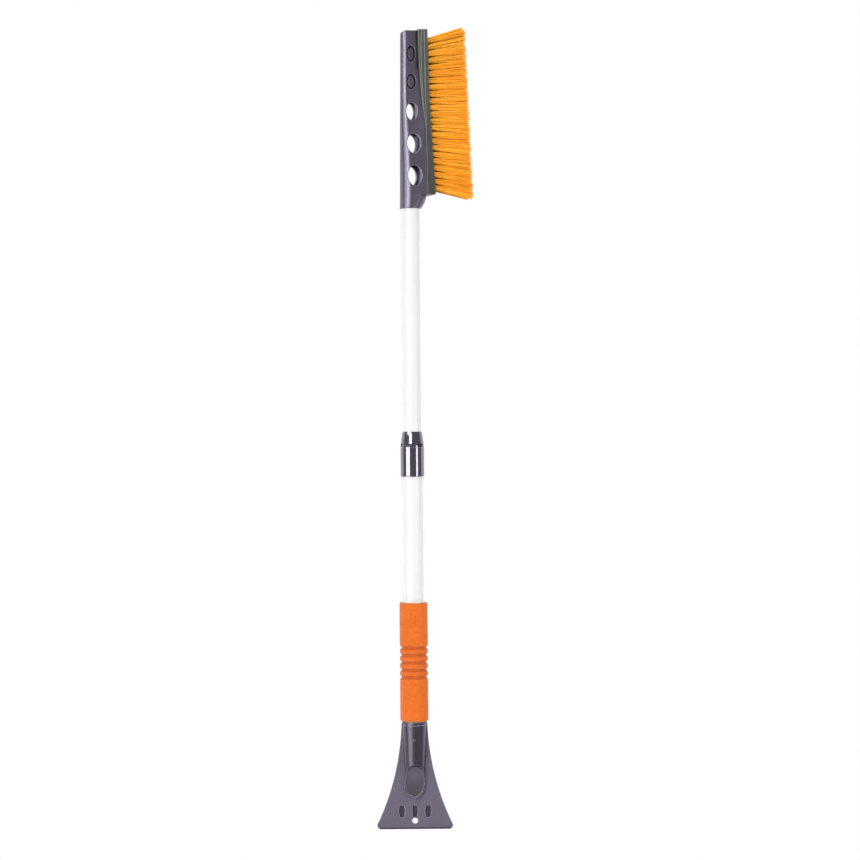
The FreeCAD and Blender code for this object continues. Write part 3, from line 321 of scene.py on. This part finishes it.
def foam_skin():
    """Closed-cell foam: pores, faint mottling, a dusty sheen and finger grooves darkened with painted shade."""
    shade = Shader("orange_foam", Sheen_Weight=0.22, Sheen_Roughness=0.5, Specular_IOR_Level=0.15)
    tone = shade.noise(55.0, 4.0)
    speck = shade.spread(shade.noise(620.0, 3.0, 0.7), 0.0, 1.0, 0.32, 0.68)
    even = shade.spread(tone, 0.0, 1.0, 0.3, 0.7)
    body = shade.blend(even, (0.72, 0.145, 0.013, 1), (0.80, 0.180, 0.020, 1))
    body = shade.blend(shade.maths("MULTIPLY", speck, 0.55), body, (0.44, 0.075, 0.006, 1))
    cells = shade.node("TexVoronoi", {"Vector": shade.coords, "Scale": 1500.0}, feature="F1").outputs["Distance"]
    pore = shade.spread(cells, 1.0, 0.0, 0.0, 0.42)
    body = shade.blend(shade.spread(pore, 0.0, 0.35), body, (0.50, 0.085, 0.008, 1))
    # painted shade: darker where the grooves see little of their surroundings
    groove = shade.spread(shade.openness(5.0 * MM), 1.0, 0.0, 0.45, 0.95)
    shade.link(shade.blend(shade.maths("MULTIPLY", groove, 0.9), body, (0.16, 0.016, 0.002, 1)), "Base Color")
    shade.link(shade.spread(tone, 0.72, 0.88, 0.3, 0.7), "Roughness")
    wide = shade.bump(shade.noise(420.0, 4.0), 0.25 * MM, 0.5)
    shade.link(shade.bump(shade.maths("SUBTRACT", 1.0, pore), 0.12 * MM, 0.6, wide), "Normal")
    return shade.material


def filament():
    """Orange polypropylene filament, slightly translucent, each one a little different, darkened at the root
    with painted shade.
    """
    shade = Shader("orange_filament", Roughness=0.5, Specular_IOR_Level=0.25,
                   Subsurface_Weight=0.05, Subsurface_Scale=0.001)
    shade.bsdf.inputs["Subsurface Radius"].default_value = (1.0, 0.45, 0.12)
    one = shade.node("Attribute", attribute_name="shade").outputs["Fac"]
    tone = shade.blend(one, (1.0, 0.33, 0.012, 1), (1.0, 0.52, 0.050, 1))
    # painted shade: the roots darken with the share of light that reaches them
    lit = shade.node("Attribute", attribute_name="open").outputs["Fac"]
    shade.link(shade.blend(lit, (0.10, 0.035, 0.008, 1), tone), "Base Color")
    shade.link(shade.bump(shade.noise(1500.0), 0.02 * MM, 0.4), "Normal")
    return shade.material


white_tube = powder_coat()
steel = plain_steel()
orange_foam = foam_skin()
orange_filament = filament()

CAD_LOOKS = {
    "scraper": scraper_plastic,
    "brush_head": head_plastic,
    "guide_bush": dark_plastic,
    "bristle_block": dark_grey,
    "collar_shell": gloss,
    "outer_tube": white_tube,
    "inner_tube": white_tube,
    "expander_sleeve": natural,
    "expander_cone": natural,
    "expander_plug": natural,
    "expander_stud": steel,
    "stud_clip": steel,
    "scraper_rivet": head_plastic,
    "head_rivet": steel,
    "tuft_anchors": steel,
}
SAME_PLACE = 0.002 * MM
CRISP_ANGLE = math.radians(28.0)
for name, material in CAD_LOOKS.items():
    mesh = nodes[name].data
    mesh.materials.clear()
    mesh.materials.append(material)
    # curved walls are shaded as curves; edges sharper than the split angle stay crisp
    if "custom_normal" in mesh.attributes:
        mesh.attributes.remove(mesh.attributes["custom_normal"])
    mesh.polygons.foreach_set("use_smooth", [True] * len(mesh.polygons))
    weld = nodes[name].modifiers.new("weld", "WELD")
    weld.merge_threshold = SAME_PLACE
    split = nodes[name].modifiers.new("crisp_edges", "EDGE_SPLIT")
    split.split_angle = CRISP_ANGLE


# ---------------------------------------------------------------- mesh helper
def piece(name, points, faces, material, smooth=True):
    """New object in the scene with this mesh and material."""
    mesh = bpy.data.meshes.new(name)
    mesh.from_pydata([tuple(point) for point in points], [], [tuple(face) for face in faces])
    mesh.materials.append(material)
    mesh.polygons.foreach_set("use_smooth", [smooth] * len(mesh.polygons))
    mesh.update()
    made = bpy.data.objects.new(name, mesh)
    bpy.context.collection.objects.link(made)
    return made


# ---------------------------------------------------------------- foam grip
FOAM_BORE = 12.52 * MM
LOWER_ROUND = 2.6 * MM
ROUND_STEPS = 7
GROOVES = [174.8 * MM + index * 8.9 * MM for index in range(5)]
GROOVE_HALF = 2.15 * MM
GROOVE_DEEP = 2.0 * MM
GROOVED_MIDDLE = 192.6 * MM
GROOVED_HALF = 26 * MM
FINE_STEP = 0.42 * MM
PLAIN_STEP = 2.2 * MM
FOAM_SIDES = 160


def foam_outline(low, top, outer, inner):
    """(radius, height) pairs from the inner lower corner round to the inner upper corner."""
    line = [(inner, low + 0.4 * MM), (inner + 0.5 * MM, low + 0.1 * MM)]
    line += [(outer - 3.0 * MM, low + 0.05 * MM)]
    for step in range(1, ROUND_STEPS + 1):
        turn = step / ROUND_STEPS * math.pi / 2
        line.append((outer - LOWER_ROUND * (1 - math.sin(turn)), low + LOWER_ROUND * (1 - math.cos(turn))))
    height = low + 3.2 * MM
    while height < top - 1.4 * MM:
        near = min(abs(height - middle) for middle in GROOVES)
        radius = outer
        if near < 3.2 * MM:
            across = near / GROOVE_HALF
            radius -= GROOVE_DEEP * max(0.0, 1 - across ** 2) ** 0.7 if across < 1 else 0.0
            # the foam sinks a little beside the lips of a groove
            radius -= 0.22 * MM * math.exp(-((near - 2.3 * MM) / (0.5 * MM)) ** 2)
        line.append((radius, height))
        height += FINE_STEP if abs(height - GROOVED_MIDDLE) < GROOVED_HALF else PLAIN_STEP
    line += [(outer, top - 1.0 * MM), (outer - 0.12 * MM, top - 0.45 * MM)]
    line += [(outer - 0.5 * MM, top - 0.1 * MM)]
    line += [(outer - 1.3 * MM, top), (inner + 0.6 * MM, top - 0.05 * MM), (inner, top - 0.4 * MM)]
    return line


def build_foam():
    """Foam sleeve: the outline turned round the handle, its skin and upper lip a little uneven."""
    low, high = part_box("foam_grip")
    line = foam_outline(low[2], high[2], high[0], FOAM_BORE)
    around = FOAM_SIDES
    points = []
    for radius, height in line:
        for index in range(around):
            turn = 2 * math.pi * index / around
            x, y = math.cos(turn), math.sin(turn)
            uneven = 0.0
            if radius > FOAM_BORE + 2 * MM:
                uneven = 0.16 * MM * noise.noise(Vector((x * 1.7, y * 1.7, height * 40)))
                uneven += 0.07 * MM * noise.noise(Vector((x * 9, y * 9, height * 420)))
                uneven -= 0.1 * MM
            lift = 0.0
            if height > high[2] - 2 * MM:
                lift = -0.35 * MM + 0.35 * MM * noise.noise(Vector((x * 1.3, y * 1.3, 7.0)))
            points.append(((radius + uneven) * x, (radius + uneven) * y, height + lift))
    faces = []
    rows = len(line)
    for row in range(rows):
        following = (row + 1) % rows
        for index in range(around):
            beside = (index + 1) % around
            faces.append((row * around + index, row * around + beside,
                          following * around + beside, following * around + index))
    grip = piece("foam_sleeve", points, faces, orange_foam)
    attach(grip, "handle")
    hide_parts("foam_grip")


build_foam()


# ---------------------------------------------------------------- bristles
def tuft_ends(node):
    """Middle of the root and of the tip of each solid tuft of a CAD row, from its mesh, lowest tuft first."""
    mesh = node.data
    total = len(mesh.vertices)
    places = np.empty(total * 3)
    mesh.vertices.foreach_get("co", places)
    places = places.reshape(-1, 3)
    # merge vertices at the same place, then join those that share a face
    keys = {}
    lead = [keys.setdefault(tuple(np.round(place, 6)), index) for index, place in enumerate(places)]

    def root_of(index):
        while lead[index] != index:
            lead[index] = lead[lead[index]]
            index = lead[index]
        return index

    for polygon in mesh.polygons:
        first = root_of(polygon.vertices[0])
        for other in polygon.vertices[1:]:
            lead[root_of(other)] = first
    groups = {}
    for index in range(total):
        groups.setdefault(root_of(index), []).append(index)
    tufts = []
    for members in groups.values():
        cloud = places[members]
        centre = cloud.mean(axis=0)
        axis = np.linalg.svd(cloud - centre, full_matrices=False)[2][0]
        if axis[0] < 0:
            axis = -axis
        reach = (cloud - centre) @ axis
        start = centre + axis * reach.min()
        end = centre + axis * reach.max()
        tufts.append((start, end))
    tufts.sort(key=lambda pair: pair[0][2])
    return tufts


SIDES = 3
RINGS = 25
PER_TUFT = 66
ROOT_RADIUS = 2.15 * MM
TIP_RADIUS = 4.9 * MM
THICK = 0.42 * MM
WAVE = 5.2 * MM
GOLDEN_TURN = 2.39996
FIRST_SEED = 40
# share of the light that reaches the roots in each row; it rises to full over this part of the length
ROOT_SHADE = {1: 0.70, 2: 0.22, 3: 0.22, 4: 0.70}
SHADE_START = 0.10
SHADE_LONG = 0.32


def build_bristles(number):
    """Loose crimped filaments in place of one CAD row, each a thin three-sided rod with closed ends."""
    source = f"bristle_row_{number}"
    random = np.random.default_rng(FIRST_SEED + number)
    points = []
    faces = []
    tones = []
    root_light_shares = []
    share = np.linspace(0.0, 1.0, RINGS)[:, None]
    rise = np.clip((share[:, 0] - SHADE_START) / SHADE_LONG, 0.0, 1.0)
    brightness = ROOT_SHADE[number] + (1 - ROOT_SHADE[number]) * rise
    for start, end in tuft_ends(nodes[source]):
        axis = end - start
        length = np.linalg.norm(axis)
        axis = axis / length
        side = np.cross(axis, (0.0, 0.0, 1.0))
        side /= np.linalg.norm(side)
        up = np.cross(side, axis)
        lean = random.normal(0, 0.35, 2) * MM
        for strand in range(PER_TUFT):
            radius = math.sqrt((strand + 0.5) / PER_TUFT)
            turn = strand * GOLDEN_TURN + random.normal(0, 0.25)
            direction = side * math.cos(turn) + up * math.sin(turn)
            stray = 1.0 + 0.22 * random.normal()
            root = start + direction * radius * ROOT_RADIUS
            reach = axis * (length + random.normal(0, 1.0) * MM - 0.4 * MM * radius)
            scatter = random.normal(0, 0.9, 2) * MM + lean
            spread = direction * radius * (TIP_RADIUS * stray - ROOT_RADIUS)
            spread = spread + side * scatter[0] + up * scatter[1]
            phase = random.uniform(0, 2 * math.pi)
            swing = random.uniform(0, 2 * math.pi)
            sway = side * math.cos(swing) + up * math.sin(swing)
            bow = random.normal(0, 0.7) * MM
            height = random.uniform(0.18, 0.40) * MM
            line = root + reach * share + spread * share ** 0.75
            crimp = np.sin(share * length / WAVE * 2 * math.pi + phase) * height
            crimp = crimp * np.clip(share * 6 - 0.6, 0, 1)
            line = line + sway * (crimp + bow * (share ** 2) * np.clip(share * 3, 0, 1))
            base = len(points)
            thick = THICK * random.uniform(0.85, 1.1)
            for ring in range(RINGS):
                slim = thick * (0.72 if ring == RINGS - 1 else 1.0)
                for corner in range(SIDES):
                    angle = 2 * math.pi * corner / SIDES + phase
                    points.append(line[ring] + (side * math.cos(angle) + up * math.sin(angle)) * slim)
            for ring in range(RINGS - 1):
                here = base + ring * SIDES
                for corner in range(SIDES):
                    beside = (corner + 1) % SIDES
                    faces.append((here + corner, here + SIDES + corner, here + SIDES + beside, here + beside))
            faces.append(tuple(base + corner for corner in range(SIDES)))
            last = base + (RINGS - 1) * SIDES
            faces.append(tuple(last + corner for corner in reversed(range(SIDES))))
            tones += [min(1.0, max(0.0, random.normal(0.5, 0.25)))] * (RINGS * SIDES)
            # painted root shade: each ring's share of the light
            root_light_shares += list(np.repeat(brightness, SIDES))
    row = piece(f"bristles_{number}", points, faces, orange_filament)
    for layer_name, values in (("shade", tones), ("open", root_light_shares)):
        layer = row.data.attributes.new(layer_name, "FLOAT", "POINT")
        layer.data.foreach_set("value", values)
    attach(row, "brush")
    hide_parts(source)


for number in range(1, 5):
    build_bristles(number)


# ---------------------------------------------------------------- studio
def area_light(name, place, aim, wide, tall, power):
    """White rectangular softbox, not seen by the camera."""
    data = bpy.data.lights.new(name, "AREA")
    data.shape = "RECTANGLE"
    data.size = wide
    data.size_y = tall
    data.energy = power
    lamp = bpy.data.objects.new(name, data)
    lamp.location = place
    lamp.rotation_euler = (Vector(aim) - Vector(place)).to_track_quat("-Z", "Y").to_euler()
    lamp.visible_camera = False
    bpy.context.collection.objects.link(lamp)
    return lamp


MIDDLE = (0.0, 0.0, 0.474)
# name, place, aim, width, height, power in watts
area_light("softbox_left", (-1.58, -1.70, 0.25), (0.0, 0.0, 0.25), 1.6, 1.06, 30.0)
area_light("softbox_high", (-1.58, -1.70, 1.52), (0.0, 0.0, 0.47), 1.6, 0.46, 12.0)
area_light("softbox_upper", (-0.72, -2.20, 1.10), MIDDLE, 1.15, 0.62, 14.5)
area_light("softbox_right", (1.50, -1.45, 0.43), MIDDLE, 0.62, 0.26, 2.8)
area_light("top_fill", (0.1, -0.5, 2.6), MIDDLE, 1.6, 1.6, 16.0)
for name, place, power in (("fill_right", (1.9, -1.0, 0.60), 27.0),
                           ("fill_left", (-1.95, -0.9, 0.60), 2.0)):
    area_light(name, place, MIDDLE, 1.2, 1.8, power).visible_glossy = False


def brush_lamp():
    """Lamp that falls on the filaments only; it stands for the light they scatter among themselves."""
    lamp = area_light("brush_lamp", (-0.95, -1.95, 1.35), (0.04, 0.0, 0.87), 0.5, 0.5, 21.0)
    chosen = bpy.data.collections.new("filaments")
    for number in range(1, 5):
        chosen.objects.link(bpy.data.objects[f"bristles_{number}"])
    lamp.light_linking.receiver_collection = chosen


brush_lamp()


FLOOR_DROP = 0.47
FLOOR_RADIUS = 1.15
FLOOR_SIDES = 96


def build_floor():
    """Pale round floor, far enough under the tool and small enough to stay out of the front picture."""
    height = cad_box[0][2] - FLOOR_DROP
    rim = []
    for index in range(FLOOR_SIDES):
        turn = 2 * math.pi * index / FLOOR_SIDES
        rim.append((FLOOR_RADIUS * math.cos(turn), FLOOR_RADIUS * math.sin(turn), height))
    shade = Shader("pale_floor", Roughness=0.85, Specular_IOR_Level=0.1)
    shade.link(shade.blend(shade.noise(3.0), grey(0.92), grey(0.94)), "Base Color")
    floor = piece("floor", rim, [tuple(range(FLOOR_SIDES))], shade.material, smooth=False)
    floor.visible_glossy = False


build_floor()


def build_world():
    """White to the eye. Soft all-round light on rough surfaces; in gloss a white sweep behind, dark in front."""
    world = bpy.data.worlds.new("studio")
    bpy.context.scene.world = world
    world.use_nodes = True
    tree = world.node_tree
    tree.nodes.clear()

    def node(kind, **sockets):
        made = tree.nodes.new("ShaderNode" + kind)
        for socket, value in sockets.items():
            made.inputs[socket.replace("_", " ")].default_value = value
        return made

    def surround(start, end, front, behind, colour):
        """Background whose strength runs from front to behind between two depths of the view sphere."""
        ramp = node("MapRange", From_Min=start, From_Max=end, To_Min=front, To_Max=behind)
        ramp.interpolation_type = "SMOOTHSTEP"
        tree.links.new(split.outputs["Y"], ramp.inputs["Value"])
        made = node("Background", Color=colour)
        tree.links.new(ramp.outputs["Result"], made.inputs["Strength"])
        return made

    def choose(ray, otherwise, chosen):
        mix = tree.nodes.new("ShaderNodeMixShader")
        tree.links.new(path.outputs[ray], mix.inputs[0])
        tree.links.new(otherwise.outputs[0], mix.inputs[1])
        tree.links.new(chosen.outputs[0], mix.inputs[2])
        return mix

    output = node("OutputWorld")
    path = node("LightPath")
    split = node("SeparateXYZ")
    tree.links.new(node("TexCoord").outputs["Generated"], split.inputs[0])
    seen = node("Background", Color=(1.0, 1.0, 1.0, 1.0), Strength=1.0)
    soft = surround(-0.2, 0.45, 0.15, 1.0, (0.98, 0.985, 1.0, 1.0))
    mirrored = surround(-0.04, 0.14, 0.08, 1.0, (1.0, 0.935, 1.01, 1.0))
    lit = choose("Is Glossy Ray", soft, mirrored)
    tree.links.new(choose("Is Camera Ray", lit, seen).outputs[0], output.inputs["Surface"])


build_world()

scene = bpy.context.scene
scene.view_settings.view_transform = "Standard"
scene.view_settings.look = "None"
scene.view_settings.exposure = 0.0
scene.view_settings.gamma = 1.0

# ---------------------------------------------------------------- camera
DISTANCE = 3.3
FRAME_WIDTH = 1.045
SENSOR = 36.0
AIM_X = 0.0217
AIM_Z = 0.4744
# the tool leans a little in the picture
ROLL = math.radians(0.45)
camera_data = bpy.data.cameras.new("camera")
camera_data.sensor_width = SENSOR
camera_data.lens = SENSOR * DISTANCE / FRAME_WIDTH
camera_data.clip_end = 50.0
camera = bpy.data.objects.new("camera", camera_data)
camera.location = (AIM_X, -DISTANCE, AIM_Z)
camera.rotation_euler = (math.radians(90.0), ROLL, 0.0)
bpy.context.collection.objects.link(camera)
scene.camera = camera
